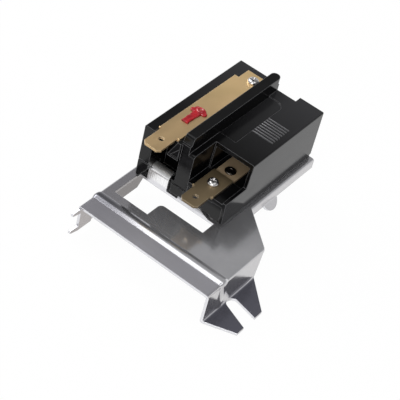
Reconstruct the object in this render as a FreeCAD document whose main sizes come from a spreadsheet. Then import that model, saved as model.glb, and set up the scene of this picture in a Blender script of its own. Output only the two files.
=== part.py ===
"""Radiant flame sensor: a heat-operated switch in a moulded housing on a bent aluminium bracket.

Frame: +X to the right, +Y to the rear, +Z up, millimetres. The origin is the centre of the
bracket foot's slot, on the foot's underside. Most pieces are drawn in the plate frame, whose
zero is the middle of the bracket plate's top face in line with the housing's front face.
"""
import FreeCAD, Part
import math
import os
import re
import Sketcher

Vector = FreeCAD.Vector
Rotation = FreeCAD.Rotation

# ---------------------------------------------------------------- driving sizes

SIZES = [
    # bracket plate and its bent legs
    ("sheet_gauge", 0.9),
    ("plate_half", 24.94),
    ("strip_front", 23.24),
    ("ear_rear", 5.3),
    ("neck_start", 16.2),
    ("side_margin", 1.1),
    ("rear_margin", 2.4),
    ("flange_depth", 3.7),
    ("flange_round", 2.4),
    ("bend_round", 0.8),
    ("foot_bend", 0.8),
    ("leg_height", 11.9),
    ("leg_front", 22.78),
    ("leg_rear_low", 3.42),
    ("bead_middle", 15.2),
    ("bead_half", 1.9),
    ("bead_high", 0.5),
    # window in the plate, stepped at its front
    ("window_left", 21.7),
    ("window_right", 7.7),
    ("window_step", 8.68),
    ("window_front_left", 10.28),
    ("window_front_right", 3.66),
    ("window_round", 1.6),
    # forked foot on the right leg
    ("foot_reach", 35.1),
    ("fork_ahead", 12.58),
    ("fork_width", 12.6),
    ("slot_across", 27.1),
    ("slot_ahead", 10.26),
    ("slot_radius", 2.09),
    ("slot_front_turn", 20.8),
    ("slot_rear_turn", 12.7),
    # horns on the left leg and the tongue on the right flange
    ("lip_reach", 25.9),
    ("lip_flare", 0.5),
    ("upper_horn", 1.1),
    ("horn_high", 1.7),
    ("horn_droop", 0.7),
    ("left_leg_high", 10.1),
    ("left_leg_front", 23.0),
    ("left_leg_rear", 6.0),
    ("left_leg_rise", 11.5),
    ("tongue_radius", 3.5),
    ("tongue_along", 27.5),
    ("tongue_lean", 38.0),
    # clamp tabs that hold the housing down
    ("tab_front", 2.0),
    ("tab_left", 18.95),
    ("tab_width", 7.7),
    ("tab_rise", 4.0),
    ("tab_curl", 2.1),
    ("tab_curl_sweep", 150.0),
    ("low_tab_left", 6.89),
    ("low_tab_right", 5.2),
    ("low_tab_curl", 1.4),
    ("low_tab_high", 1.3),
    ("low_tab_taper", 4.3),
    ("rear_tab_width", 4.4),
    ("rear_tab_rise", 4.2),
    ("rear_tab_hook", 1.6),
    ("tab_clearance", 0.15),
    ("rim_gap", 0.25),
    # heat aperture through the plate and the base plate
    ("aperture_left", 17.0),
    ("aperture_right", 5.5),
    ("aperture_front", 14.5),
    # housing, and how far each piece stops from its rear face
    ("base_thick", 1.0),
    ("base_inset", 0.3),
    ("block_left", 22.25),
    ("block_top", 21.07),
    ("block_rear", 49.12),
    ("roof_tail", 2.96),
    ("rib_tail", 0.78),
    ("rear_wall", 2.62),
    ("aperture_back", 11.12),
    ("pad_back", 4.82),
    ("nose_round", 1.1),
    ("core_right", 4.5),
    ("roof_right", 10.04),
    ("roof_top", 18.67),
    ("roof_front", 13.4),
    ("notch_right", 0.66),
    ("wall_thick", 1.2),
    ("front_set", 2.3),
    ("ledge_top", 9.75),
    ("ledge_rear", 12.5),
    ("floor_thick", 1.31),
    ("roof_thick", 1.45),
    ("left_roof_thick", 2.6),
    ("chamber_front", 13.0),
    ("chamber_left", 20.25),
    ("chamber_right", 8.5),
    ("core_wall", 2.0),
    ("line_height", 7.2),
    ("line_width", 0.35),
    ("corner_round", 0.45),
    # front pocket beside the upper terminal
    ("pocket_left", 18.3),
    ("pocket_right", 9.4),
    ("pocket_deep", 9.0),
    ("pocket_floor", 3.0),
    ("pocket_roof", 1.8),
    ("rim_height", 4.6),
    ("panel_low", 14.5),
    ("panel_reach", 13.6),
    ("panel_top_reach", 10.6),
    ("panel_recess", 0.7),
    # barrier rib
    ("rib_left", 9.98),
    ("rib_right", 6.6),
    ("rib_top", 23.7),
    ("rib_front", 3.9),
    ("rib_foot", 2.5),
    # shallow pad and grip lines on the roof
    ("pad_front", 17.8),
    ("pad_right", 0.3),
    ("pad_deep", 0.35),
    ("pad_corner", 3.0),
    ("grip_front", 26.1),
    ("grip_pitch", 1.25),
    ("grip_count", 8),
    ("grip_left", 0.2),
    ("grip_length", 7.9),
    ("grip_height", 0.25),
    ("grip_width", 0.45),
    # quick-connect terminals
    ("brass_thick", 0.8),
    ("blade_width", 6.35),
    ("blade_hole", 0.9),
    ("blade_corner", 1.1),
    ("nib_radius", 0.45),
    ("strip_middle", 14.67),
    ("strip_width", 7.74),
    ("strip_top", 21.67),
    ("strip_tip", 7.05),
    ("strip_shoulder", 1.79),
    ("strip_step", 1.5),
    ("strip_back", 2.93),
    ("neck_long", 5.35),
    ("strip_hole_y", 1.9),
    ("seat_clearance", 0.1),
    ("lower_middle", 1.51),
    ("lower_width", 7.54),
    ("lower_top", 9.91),
    ("lower_tip", 6.18),
    ("lower_shoulder", 1.17),
    ("lower_end", 12.1),
    ("lower_hole_y", 2.34),
    ("contact_front", 3.6),
    ("contact_back", 1.3),
    ("contact_width", 7.3),
    # screws, post, insert and rivets
    ("screw_head", 1.9),
    ("screw_head_high", 1.25),
    ("screw_core", 1.2),
    ("cross_width", 0.5),
    ("cross_length", 2.1),
    ("cross_deep", 0.7),
    ("thread_clearance", 0.05),
    ("top_screw_x", 12.4),
    ("top_screw_back", 3.89),
    ("top_screw_long", 8.0),
    ("lower_screw_y", 6.4),
    ("lower_screw_long", 5.4),
    ("post_radius", 2.2),
    ("spigot_radius", 1.1),
    ("nut_across", 4.0),
    ("nut_thick", 1.6),
    ("insert_radius", 1.9),
    ("insert_long", 4.8),
    ("rivet_head", 1.9),
    ("rivet_head_high", 0.6),
    ("rivet_shank", 1.2),
    ("rivet_bore", 0.75),
    ("rivet_flare", 1.7),
    ("rivet_y", 15.7),
    ("root_rivet_back", 2.3),
    # heat-sensing blade, compensating arm and their contacts
    ("blade_thick", 0.4),
    ("blade_level", 5.4),
    ("blade_left", 2.0),
    ("blade_right", 5.0),
    ("blade_front", 14.0),
    ("blade_arm_end", 17.6),
    ("blade_arm_rear", 20.6),
    ("root_ahead", 5.4),
    ("root_behind", 2.1),
    ("blade_ahead", 1.9),
    ("arm_root_ahead", 5.8),
    ("arm_root_behind", 2.7),
    ("arm_ahead", 2.3),
    ("lap_clearance", 0.05),
    ("contact_radius", 1.5),
    ("contact_high", 1.2),
    ("contact_gap", 0.05),
    ("arm_half", 3.0),
    ("arm_front", 14.6),
    ("arm_root_thick", 0.6),
    # calibration screw and the lacquer that seals it
    ("tuning_x", 14.85),
    ("tuning_y", 17.4),
    ("tuning_radius", 1.25),
    ("tuning_proud", 0.45),
    ("tuning_hole", 1.6),
    ("seal_thick", 0.35),
    ("seal_stem", 2.2),
    ("seal_stem_end", 9.8),
    ("seal_neck", 14.6),
    ("seal_head", 2.5),
]

doc = FreeCAD.newDocument("FlameSensor")
sheet = doc.addObject("Spreadsheet::Sheet", "Sizes")
for row, (alias, size) in enumerate(SIZES, start=1):
    sheet.set(f"A{row}", alias)
    sheet.set(f"B{row}", str(size))
    sheet.setAlias(f"B{row}", alias)
doc.recompute()


# ---------------------------------------------------------------- helpers

# places that follow from the driving sizes
FOLLOWS = {
    "rim_front": "(tab_front + sheet_gauge + rim_gap)",
    "rim_rear": "(tab_front + 2 * tab_curl - sheet_gauge - rim_gap)",
    "roof_rear": "(block_rear + roof_tail)",
    "rib_rear": "(block_rear + rib_tail)",
    "pad_rear": "(block_rear - pad_back)",
    "aperture_rear": "(block_rear - aperture_back)",
    "chamber_rear": "(block_rear - rear_wall)",
    "strip_end": "(block_rear - strip_back)",
    "strip_neck": "(block_rear - strip_back - neck_long)",
    "top_screw_y": "(block_rear - strip_back - top_screw_back)",
    "arm_root_front": "(block_rear - strip_back - top_screw_back - arm_root_ahead)",
    "arm_root_rear": "(block_rear - strip_back - top_screw_back + arm_root_behind)",
    "arm_rear": "(block_rear - strip_back - top_screw_back - arm_ahead)",
    "contact_end": "(block_rear - rear_wall - contact_back)",
    "root_rivet_y": "(block_rear - rear_wall - contact_back - root_rivet_back)",
    "root_front": "(block_rear - rear_wall - contact_back - root_rivet_back - root_ahead)",
    "root_rear": "(block_rear - rear_wall - contact_back - root_rivet_back + root_behind)",
    "blade_rear": "(block_rear - rear_wall - contact_back - root_rivet_back - blade_ahead)",
}


def sheet_formula(words):
    """Turn a formula of size names into one that reads the spreadsheet."""
    spelled = re.sub(r"[a-z]+_[a-z_]+", lambda found: FOLLOWS.get(found.group(0), found.group(0)), words)
    return re.sub(r"[a-z]+_[a-z_]+", lambda found: "Sizes." + found.group(0), spelled)


def bind(item, prop, words):
    """Drive one property of an object from the spreadsheet."""
    item.setExpression(prop, sheet_formula(words))


def bind_place(item, place):
    """Drive an object's position from three formulas."""
    for axis, words in zip("xyz", place):
        bind(item, "Placement.Base." + axis, words)


# where the plate frame lies in the part's own frame
PLATE = ("-slot_across", "slot_ahead", "leg_height")


def new_body(label, place=("0", "0", "0")):
    """A named sub-part whose own zero lies at a place in the plate frame."""
    body = doc.addObject("PartDesign::Body", label)
    body.Label = label
    bind_place(body, [f"{base} + ({own})" for base, own in zip(PLATE, place)])
    return body


def origin_plane(body, role):
    """One of the body's own three planes."""
    for feature in body.Origin.OriginFeatures:
        if feature.Role == role:
            return feature
    raise ValueError(role)


def outline(body, name, role, corners, offset="0"):
    """A closed straight-sided sketch; each corner is a pair of formulas."""
    sketch = body.newObject("Sketcher::SketchObject", name)
    sketch.AttachmentSupport = [(origin_plane(body, role), "")]
    sketch.MapMode = "FlatFace"
    bind(sketch, "AttachmentOffset.Base.z", offset)
    count = len(corners)
    seeds = [Rotation(Vector(0, 0, 1), 360.0 * i / count).multVec(Vector(40, 0, 0)) for i in range(count)]
    for i in range(count):
        sketch.addGeometry(Part.LineSegment(seeds[i], seeds[(i + 1) % count]), False)
    for i in range(count):
        sketch.addConstraint(Sketcher.Constraint("Coincident", i, 2, (i + 1) % count, 1))
    for i, (across, up) in enumerate(corners):
        for kind, seed, words in (("DistanceX", seeds[i].x, across), ("DistanceY", seeds[i].y, up)):
            index = sketch.addConstraint(Sketcher.Constraint(kind, -1, 1, i, 1, seed))
            bind(sketch, f"Constraints[{index}]", words)
    return sketch


def pad(body, sketch, length):
    """Add material along the sketch's normal."""
    feature = body.newObject("PartDesign::Pad", sketch.Name + "Pad")
    feature.Profile = sketch
    bind(feature, "Length", length)
    return feature


def pocket(body, sketch, length):
    """Cut material along the sketch's normal."""
    feature = body.newObject("PartDesign::Pocket", sketch.Name + "Pocket")
    feature.Profile = sketch
    feature.Reversed = True
    bind(feature, "Length", length)
    return feature


def bead_cap(body, name, across, up, past):
    """A sketch of the bead's crown, on a plane across X; its own zero lies on a bend's axis."""
    sketch = body.newObject("Sketcher::SketchObject", name)
    sketch.AttachmentSupport = [(origin_plane(body, "YZ_Plane"), "")]
    sketch.MapMode = "FlatFace"
    bind(sketch, "AttachmentOffset.Base.z", across)
    bind(sketch, "AttachmentOffset.Base.y", up)
    half, high, rise = sized("bead_half"), sized("bead_high"), sized("bend_round")
    radius = (half ** 2 + high ** 2) / (2 * high)
    middle = Vector(-sized("bead_middle"), rise + high - radius, 0)
    lean = math.acos((radius - high - 0.1) / radius)
    circle = Part.Circle(middle, Vector(0, 0, 1), radius)
    sketch.addGeometry(Part.ArcOfCircle(circle, math.pi / 2 - lean, math.pi / 2 + lean), False)
    reach = radius * math.sin(lean)
    sketch.addGeometry(Part.LineSegment(Vector(middle.x - reach, rise - 0.1, 0),
                                        Vector(middle.x + reach, rise - 0.1, 0)), False)
    sketch.addConstraint(Sketcher.Constraint("Coincident", 0, 2, 1, 1))
    sketch.addConstraint(Sketcher.Constraint("Coincident", 1, 2, 0, 1))
    sketch.addConstraint(Sketcher.Constraint("Horizontal", 1))
    for kind, seed, words in (("DistanceX", middle.x, "-bead_middle"),
                              ("DistanceY", middle.y, f"bend_round + bead_high - {past}")):
        index = sketch.addConstraint(Sketcher.Constraint(kind, -1, 1, 0, 3, seed))
        bind(sketch, f"Constraints[{index}]", words)
    index = sketch.addConstraint(Sketcher.Constraint("Radius", 0, radius))
    bind(sketch, f"Constraints[{index}]", past)
    index = sketch.addConstraint(Sketcher.Constraint("DistanceY", -1, 1, 1, 1, rise - 0.1))
    bind(sketch, f"Constraints[{index}]", "bend_round - 0.1")
    return sketch


def span(low, high):
    """The length between two formulas."""
    return f"({high}) - ({low})"


def block(body, name, low, high, cut=False):
    """A box between two corners, added to the body or cut from it."""
    kind = "PartDesign::SubtractiveBox" if cut else "PartDesign::AdditiveBox"
    feature = body.newObject(kind, name)
    bind_place(feature, low)
    for prop, near, far in zip(("Length", "Width", "Height"), low, high):
        bind(feature, prop, span(near, far))
    return feature


TURNS = {
    "x": Rotation(Vector(0, 1, 0), 90),
    "y": Rotation(Vector(1, 0, 0), -90),
    "z": Rotation(),
}


def drum(body, name, base, radius, length, along="z", cut=False, sweep=None, start=0.0):
    """A cylinder, or a sector of one, along an axis."""
    kind = "PartDesign::SubtractiveCylinder" if cut else "PartDesign::AdditiveCylinder"
    feature = body.newObject(kind, name)
    feature.Placement = FreeCAD.Placement(Vector(), TURNS[along].multiply(Rotation(Vector(0, 0, 1), start)))
    bind_place(feature, base)
    bind(feature, "Radius", radius)
    bind(feature, "Height", length)
    if sweep:
        bind(feature, "Angle", sweep)
    return feature


def edges_where(shape, test):
    """Names of the straight edges whose middle and direction pass a test."""
    names = []
    for index, edge in enumerate(shape.Edges, start=1):
        if edge.Curve.TypeId != "Part::GeomLine":
            continue
        start, end = (vertex.Point for vertex in edge.Vertexes)
        if test((start + end) * 0.5, (end - start).normalize()):
            names.append(f"Edge{index}")
    return names


def soften(body, name, test, size, kind="PartDesign::Fillet"):
    """Round or bevel the edges that pass a test."""
    doc.recompute()
    base = body.Tip
    names = edges_where(base.Shape, test)
    if not names:
        raise ValueError("no edge for " + name)
    feature = body.newObject(kind, name)
    feature.Base = (base, names)
    bind(feature, "Radius" if kind.endswith("Fillet") else "Size", size)
    return feature


def sized(alias):
    """The present value of one size."""
    return float(sheet.get(alias))


def near(value, target, slack=0.02):
    return abs(value - target) < slack


# ---------------------------------------------------------------- bracket

def make_bracket():
    """Bent sheet: windowed plate, beaded strip, two legs, forked foot, flanges and clamp tabs."""
    body = new_body("mounting_bracket")
    right = "plate_half"
    flange = "roof_right + side_margin + sheet_gauge"
    rear = "block_rear + rear_margin"
    sheet_plan = outline(body, "PlatePlan", "XY_Plane", [
        ("-plate_half", "-strip_front"), (right, "-strip_front"), (right, "ear_rear"),
        (flange, "neck_start"), (flange, rear), ("-plate_half", rear)], "-sheet_gauge")
    pad(body, sheet_plan, "sheet_gauge")
    window = outline(body, "WindowPlan", "XY_Plane", [
        ("-window_left", "-window_front_left"), ("-window_step", "-window_front_left"),
        ("-window_step", "-window_front_right"), ("window_right", "-window_front_right"),
        ("window_right", "tab_front"), ("-window_left", "tab_front")], "-sheet_gauge * 1.5")
    pocket(body, window, "sheet_gauge * 2")
    block(body, "Aperture", ("-aperture_left", "aperture_front", "-sheet_gauge * 1.5"),
          ("aperture_right", "aperture_rear", "sheet_gauge"), cut=True)

    # right leg, its lower rear corner drawn in, and left leg running up into a side flange
    right_leg = outline(body, "RightLeg", "YZ_Plane", [
        ("-leg_front", "0"), ("ear_rear", "0"), ("leg_rear_low", "-leg_height"),
        ("-leg_front", "-leg_height")], "plate_half - sheet_gauge")
    pad(body, right_leg, "sheet_gauge")
    left_leg = outline(body, "LeftLeg", "YZ_Plane", [
        ("-left_leg_front", "0"), (rear, "0"), (rear, "-flange_depth"), ("left_leg_rise", "-flange_depth"),
        ("left_leg_rear", "-left_leg_high"), ("-left_leg_front", "-left_leg_high")], "-plate_half")
    pad(body, left_leg, "sheet_gauge")
    right_flange = outline(body, "RightFlange", "YZ_Plane", [
        ("neck_start", "0"), (rear, "0"), (rear, "-flange_depth"), ("neck_start", "-flange_depth")],
        f"{flange} - sheet_gauge")
    pad(body, right_flange, "sheet_gauge")

    fork = outline(body, "ForkPlan", "XY_Plane", [
        ("plate_half - sheet_gauge", "-leg_front"), ("plate_half", "-leg_front"),
        ("foot_reach", "-fork_ahead - fork_width / 2"), ("foot_reach", "-fork_ahead + fork_width / 2"),
        ("plate_half", "leg_rear_low"), ("plate_half - sheet_gauge", "leg_rear_low")], "-leg_height")
    pad(body, fork, "sheet_gauge")

    half = sized("plate_half")
    gauge = sized("sheet_gauge")
    drop = sized("leg_height")
    flange_x = sized("roof_right") + sized("side_margin") + gauge

    def outer_bend(middle, way):
        edge = near(abs(middle.x), half) or near(middle.x, flange_x)
        return abs(way.y) > 0.99 and near(middle.z, 0) and edge

    soften(body, "OuterBends", outer_bend, "bend_round")
    soften(body, "FootBendInside", lambda middle, way: abs(way.y) > 0.99 and near(middle.z, gauge - drop)
           and near(middle.x, half), "foot_bend")
    soften(body, "FootBendOutside", lambda middle, way: abs(way.y) > 0.99 and near(middle.z, -drop)
           and near(middle.x, half - gauge), "bend_round")

    def low_corner(middle, way):
        front = near(middle.y, sized("neck_start")) and middle.x > 0
        rise = near(middle.y, sized("left_leg_rise")) and middle.x < 0
        return abs(way.x) > 0.99 and near(middle.z, -sized("flange_depth")) and (front or rise)

    soften(body, "FlangeRounds", low_corner, "flange_round")

    def ear_corner(middle, way):
        return abs(way.z) > 0.99 and near(middle.y, -sized("window_front_right")) \
            and near(middle.x, -sized("window_step"))

    soften(body, "WindowRound", ear_corner, "window_round")

    # stiffening bead pressed out across the strip, round both bends and down both legs
    crown = "((bead_half ^ 2 + bead_high ^ 2) / (2 * bead_high))"
    bead_axis = f"bead_high - {crown}"
    bead_end = "(plate_half - bend_round)"
    drum(body, "Bead", (f"-{bead_end}", "-bead_middle", bead_axis), crown, f"2 * {bead_end}", along="x")
    legs = {"Right": (1, "leg_height - foot_bend - sheet_gauge"), "Left": (-1, "left_leg_high")}
    for name, (side, depth) in legs.items():
        cap = bead_cap(body, f"Bead{name}Cap", f"{side} * {bead_end}", "-bend_round", crown)
        turn = body.newObject("PartDesign::Revolution", f"Bead{name}Bend")
        turn.Profile = cap
        turn.ReferenceAxis = (cap, ["H_Axis"])
        turn.Angle = 90
        turn.Reversed = side < 0
        drum(body, f"Bead{name}Leg", (f"{side} * (plate_half + {bead_axis})", "-bead_middle", f"-({depth})"),
             crown, f"{depth} - bend_round", along="z")
    block(body, "BeadTrim", ("-plate_half + sheet_gauge", f"-bead_middle - {crown} - 1", "-leg_height - 1"),
          ("plate_half - sheet_gauge", f"-bead_middle + {crown} + 1", "-sheet_gauge"), cut=True)
    drum(body, "BeadHollow", (f"-{bead_end}", "-bead_middle", bead_axis), f"{crown} - sheet_gauge",
         f"2 * {bead_end}", along="x", cut=True)
    for name, (side, depth) in legs.items():
        drum(body, f"Bead{name}Hollow",
             (f"{side} * (plate_half + {bead_axis})", "-bead_middle", f"-({depth}) - 0.1"),
             f"{crown} - sheet_gauge", f"{depth} + 0.1 - bend_round", along="z", cut=True)

    # slot in the foot: round at the bend, its two straight sides spreading to the tips
    drum(body, "SlotEnd", ("slot_across", "-slot_ahead", "-leg_height - sheet_gauge"),
         "slot_radius", "3 * sheet_gauge", cut=True)
    past = "(foot_reach + sheet_gauge - slot_across)"
    slot = outline(body, "SlotPlan", "XY_Plane", [
        ("slot_across - slot_radius * sin(slot_front_turn)",
         "-slot_ahead - slot_radius * cos(slot_front_turn)"),
        (f"slot_across + {past}",
         f"-slot_ahead - slot_radius / cos(slot_front_turn) - {past} * tan(slot_front_turn)"),
        (f"slot_across + {past}",
         f"-slot_ahead + slot_radius / cos(slot_rear_turn) - {past} * tan(slot_rear_turn)"),
        ("slot_across + slot_radius * sin(slot_rear_turn)",
         "-slot_ahead + slot_radius * cos(slot_rear_turn)")],
        "-leg_height - sheet_gauge")
    pocket(body, slot, "3 * sheet_gauge")

    # two horns standing ahead of the left leg, one high and one low
    lip = outline(body, "LipPlan", "XY_Plane", [
        ("-plate_half", "-left_leg_front"), ("-plate_half - lip_flare", "-lip_reach"),
        ("-plate_half - lip_flare + sheet_gauge", "-lip_reach"),
        ("-plate_half + sheet_gauge", "-left_leg_front")],
        "-left_leg_high")
    pad(body, lip, "left_leg_high - upper_horn")
    past_tip = "-lip_reach - 1"
    trims = {
        "LipOver": [("-left_leg_front", "-upper_horn"), ("-lip_reach", "-upper_horn - horn_droop"),
                    (past_tip, "-upper_horn - horn_droop"), (past_tip, "-upper_horn + 0.1"),
                    ("-left_leg_front", "-upper_horn + 0.1")],
        "LipBetween": [("-left_leg_front", "-upper_horn - horn_high"), (past_tip, "-upper_horn - horn_high"),
                       (past_tip, "-left_leg_high + horn_high - horn_droop"),
                       ("-lip_reach", "-left_leg_high + horn_high - horn_droop"),
                       ("-left_leg_front", "-left_leg_high + horn_high")],
    }
    for name, corners in trims.items():
        pocket(body, outline(body, name, "YZ_Plane", corners, "-plate_half - 2"), "3.5")

    # half-round tongue that leans out from the right flange
    tongue = body.newObject("PartDesign::AdditiveCylinder", "Tongue")
    lean_out = Rotation(Vector(0, -1, 0), sized("tongue_lean"))
    tongue.Placement = FreeCAD.Placement(Vector(), lean_out.multiply(TURNS["x"]))
    bind_place(tongue, (f"{flange} - sheet_gauge", "tongue_along", "-flange_depth + 0.1"))
    bind(tongue, "Radius", "tongue_radius")
    bind(tongue, "Height", "sheet_gauge")
    block(body, "TongueTrim", (f"{flange} - sheet_gauge - tongue_radius", "tongue_along - tongue_radius - 1",
                               "-flange_depth"),
          (f"{flange} - sheet_gauge", "tongue_along + tongue_radius + 1", "-sheet_gauge"), cut=True)
    return body


def add_clamp_tabs(body):
    """Upper tab curled over the pocket rim, low tab under the lower terminal, hooked rear tab."""
    tab_right = "-tab_left + tab_width"
    drum(body, "TabCurl", ("-tab_left", "tab_front + tab_curl", "tab_rise"), "tab_curl", "tab_width",
         along="x", sweep="tab_curl_sweep", start=120.0)
    drum(body, "TabCurlInside", ("-tab_left - 1", "tab_front + tab_curl", "tab_rise"),
         "tab_curl - sheet_gauge", "tab_width + 2", along="x", cut=True)
    block(body, "TabStem", ("-tab_left", "tab_front", "-sheet_gauge"),
          (tab_right, "tab_front + sheet_gauge", "tab_rise"))

    low_top = "low_tab_high"
    low_centre = ("-low_tab_left", "tab_front + low_tab_curl", "low_tab_high - low_tab_curl")
    drum(body, "LowCurl", low_centre, "low_tab_curl", "low_tab_left + low_tab_right",
         along="x", sweep="90", start=180.0)
    drum(body, "LowCurlInside", ("-low_tab_left - 1",) + low_centre[1:], "low_tab_curl - sheet_gauge",
         "low_tab_left + low_tab_right + 2", along="x", cut=True)
    block(body, "LowHook", ("-low_tab_left", "tab_front + low_tab_curl", "low_tab_high - sheet_gauge"),
          ("low_tab_right", "tab_front + 2 * low_tab_curl", low_top))
    taper = outline(body, "LowTaper", "XZ_Plane", [
        ("low_tab_right - low_tab_taper", "low_tab_high + 0.1"), ("low_tab_right", "0"),
        ("low_tab_right + 1", "0"), ("low_tab_right + 1", "low_tab_high + 0.1")], "-tab_front - 4")
    pocket(body, taper, "5")

    middle = "(notch_right - core_right) / 2"
    back = "block_rear + tab_clearance"
    block(body, "RearStem", (f"{middle} - rear_tab_width / 2", back, "-sheet_gauge"),
          (f"{middle} + rear_tab_width / 2", f"{back} + sheet_gauge", "rear_tab_rise + sheet_gauge"))
    block(body, "RearHook", (f"{middle} - rear_tab_width / 2", "block_rear - rear_tab_hook", "rear_tab_rise"),
          (f"{middle} + rear_tab_width / 2", f"{back} + sheet_gauge / 2", "rear_tab_rise + sheet_gauge"))


# ---------------------------------------------------------------- moulded housing and base plate

FRONT_FLOOR = "lower_top - brass_thick"
REAR_FLOOR = "lower_top - 2 * brass_thick"
CHAMBER_TOP = "lower_top - 2 * brass_thick - floor_thick"
CHANNEL_RIGHT = "roof_right - wall_thick"
STRIP_LEFT = "-strip_middle - strip_width / 2"
STRIP_RIGHT = "-strip_middle + strip_width / 2"


def make_housing():
    """Two stepped blocks side by side, a barrier rib between them, a terminal channel and chambers."""
    body = new_body("housing")
    block(body, "LeftBlock", ("-block_left", "0", "base_thick"), ("-rib_right", "block_rear", "block_top"))
    side = outline(body, "RightBlock", "YZ_Plane", [
        ("front_set", "base_thick"), ("front_set - 0.45", "ledge_top"), ("ledge_rear", "ledge_top"),
        ("roof_front", "roof_top"), ("roof_rear", "roof_top"), ("roof_rear", "base_thick")], "-rib_right - 1")
    pad(body, side, "rib_right + 1 + roof_right")
    block(body, "Notch", ("-rib_right - 2", "block_rear", "0"),
          ("notch_right", "roof_rear + 1", "roof_top + 1"), cut=True)
    block(body, "FrontTrim", ("-pocket_right", "-1", "0"),
          ("-core_right", "front_set", "block_top + 1"), cut=True)
    block(body, "CoreWall", ("-pocket_right", "front_set", "base_thick"),
          ("-core_right", "block_rear", "roof_top"))

    # open terminal channel in front, tunnel under the roof behind it
    block(body, "ChannelFront", ("-core_right", "-1", FRONT_FLOOR),
          (CHANNEL_RIGHT, "lower_end", "roof_top + 1"), cut=True)
    block(body, "ChannelRear", ("-core_right + 0.5", "lower_end", REAR_FLOOR),
          (CHANNEL_RIGHT, "chamber_rear - 1", "roof_top - roof_thick"), cut=True)
    block(body, "ChannelBrow", ("-core_right", "lower_end - 0.1", FRONT_FLOOR),
          (CHANNEL_RIGHT, "roof_front - 0.8", "roof_top - roof_thick"), cut=True)
    plate_edge = "(contact_width / 2 + seat_clearance)"
    block(body, "PlateSeat", (f"lower_middle - {plate_edge}", "contact_front - seat_clearance", REAR_FLOOR),
          (f"lower_middle + {plate_edge}", "lower_end + 0.1", "lower_top - brass_thick / 2"), cut=True)

    # chambers for the blades
    block(body, "LowChamber", ("-chamber_left", "chamber_front", "0"),
          ("chamber_right", "chamber_rear", CHAMBER_TOP), cut=True)
    block(body, "HighChamber", ("-chamber_left", "chamber_front", "0"),
          ("-core_right - core_wall", "chamber_rear", "block_top - left_roof_thick"), cut=True)

    # front pocket: clear ahead of the rim, hollow behind and above it
    block(body, "PocketMouth", ("-pocket_left", "-1", "0"),
          ("-pocket_right", "rim_front", "block_top + 1"), cut=True)
    block(body, "PocketUpper", ("-pocket_left", "rim_front - 0.1", "rim_height"),
          ("-pocket_right", "pocket_deep", "block_top - pocket_roof"), cut=True)
    block(body, "PocketLower", ("-pocket_left", "rim_rear", "pocket_floor"),
          ("-pocket_right", "pocket_deep", "rim_height + 0.1"), cut=True)
    relief_rear = "tab_front + 2 * tab_curl + tab_clearance"
    wedge = outline(body, "FootBevel", "XZ_Plane", [
        ("-pocket_left + 0.1", "5.6"), ("-pocket_left + 0.1", "0"), ("-block_left + 0.6", "0")],
        f"-({relief_rear})")
    pocket(body, wedge, f"{relief_rear} + 1")
    block(body, "TabRelief", ("-tab_left - tab_clearance", "tab_front - tab_clearance", "0"),
          ("-pocket_left + 0.1", relief_rear, "tab_rise + tab_curl + tab_clearance"), cut=True)
    panel = outline(body, "Panel", "XZ_Plane", [
        ("-panel_reach", "panel_low"), ("-pocket_right", "panel_low"), ("-pocket_right", "block_top"),
        ("-panel_top_reach", "block_top")], "-rim_front - 1.2")
    pad(body, panel, "rim_front")
    recess = outline(body, "PanelRecess", "XZ_Plane", [
        ("-panel_reach + 1.3", "panel_low + panel_recess"),
        ("-pocket_right - 0.2", "panel_low + panel_recess"),
        ("-pocket_right - 0.2", "block_top - 2.2")], "-1.7")
    pocket(body, recess, "3")

    # foot of the core wall, moulded line and recessed lower front
    block(body, "CoreFoot", ("-pocket_right - 0.6", "front_set - 0.4", "base_thick"),
          ("-core_right - 0.7", "front_set + 0.1", "4.3"))
    block(body, "LeftLine", ("-block_left - 1", "-1", "line_height"),
          ("-pocket_left + 0.1", "line_width", "line_height + line_width"), cut=True)
    block(body, "RightLine", ("low_tab_right", "-1", "line_height"),
          (CHANNEL_RIGHT, "front_set + line_width", "line_height + line_width"), cut=True)
    block(body, "LowFront", ("-core_right", "-1", "0"),
          (CHANNEL_RIGHT, "front_set + 0.3", "line_height"), cut=True)

    # slots for the low clamp tab and the rear clamp tab
    block(body, "LowTabSlot", ("-low_tab_left - tab_clearance", "0", "0"),
          ("low_tab_right + tab_clearance", "tab_front + 2 * low_tab_curl + tab_clearance",
           "low_tab_high + tab_clearance"), cut=True)
    middle = "(notch_right - core_right) / 2"
    block(body, "RearTabSlot",
          (f"{middle} - rear_tab_width / 2 - tab_clearance", "block_rear - rear_tab_hook - tab_clearance",
           "rear_tab_rise - tab_clearance"),
          (f"{middle} + rear_tab_width / 2 + tab_clearance", "block_rear + 1",
           "rear_tab_rise + sheet_gauge + tab_clearance"), cut=True)

    # barrier rib with a full round at the rear
    half_rib = "(rib_left - rib_right) / 2"
    rib = outline(body, "Rib", "YZ_Plane", [
        ("rib_foot", "roof_top - 1"), ("rib_foot", "roof_top + 0.8"), ("rib_front", "rib_top"),
        (f"rib_rear - {half_rib}", "rib_top"), (f"rib_rear - {half_rib}", "roof_top - 1")], "-rib_left")
    pad(body, rib, "rib_left - rib_right")
    drum(body, "RibEnd", ("-(rib_left + rib_right) / 2", f"rib_rear - {half_rib}", "base_thick"),
         half_rib, "rib_top - base_thick")

    soften(body, "RibNose", lambda middle, way: abs(way.x) > 0.99 and near(middle.y, sized("rib_front"))
           and near(middle.z, sized("rib_top")), "nose_round")
    soften(body, "WallNose", lambda middle, way: abs(way.x) > 0.99 and near(middle.y, sized("front_set"))
           and near(middle.z, sized("roof_top")), "nose_round")

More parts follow.
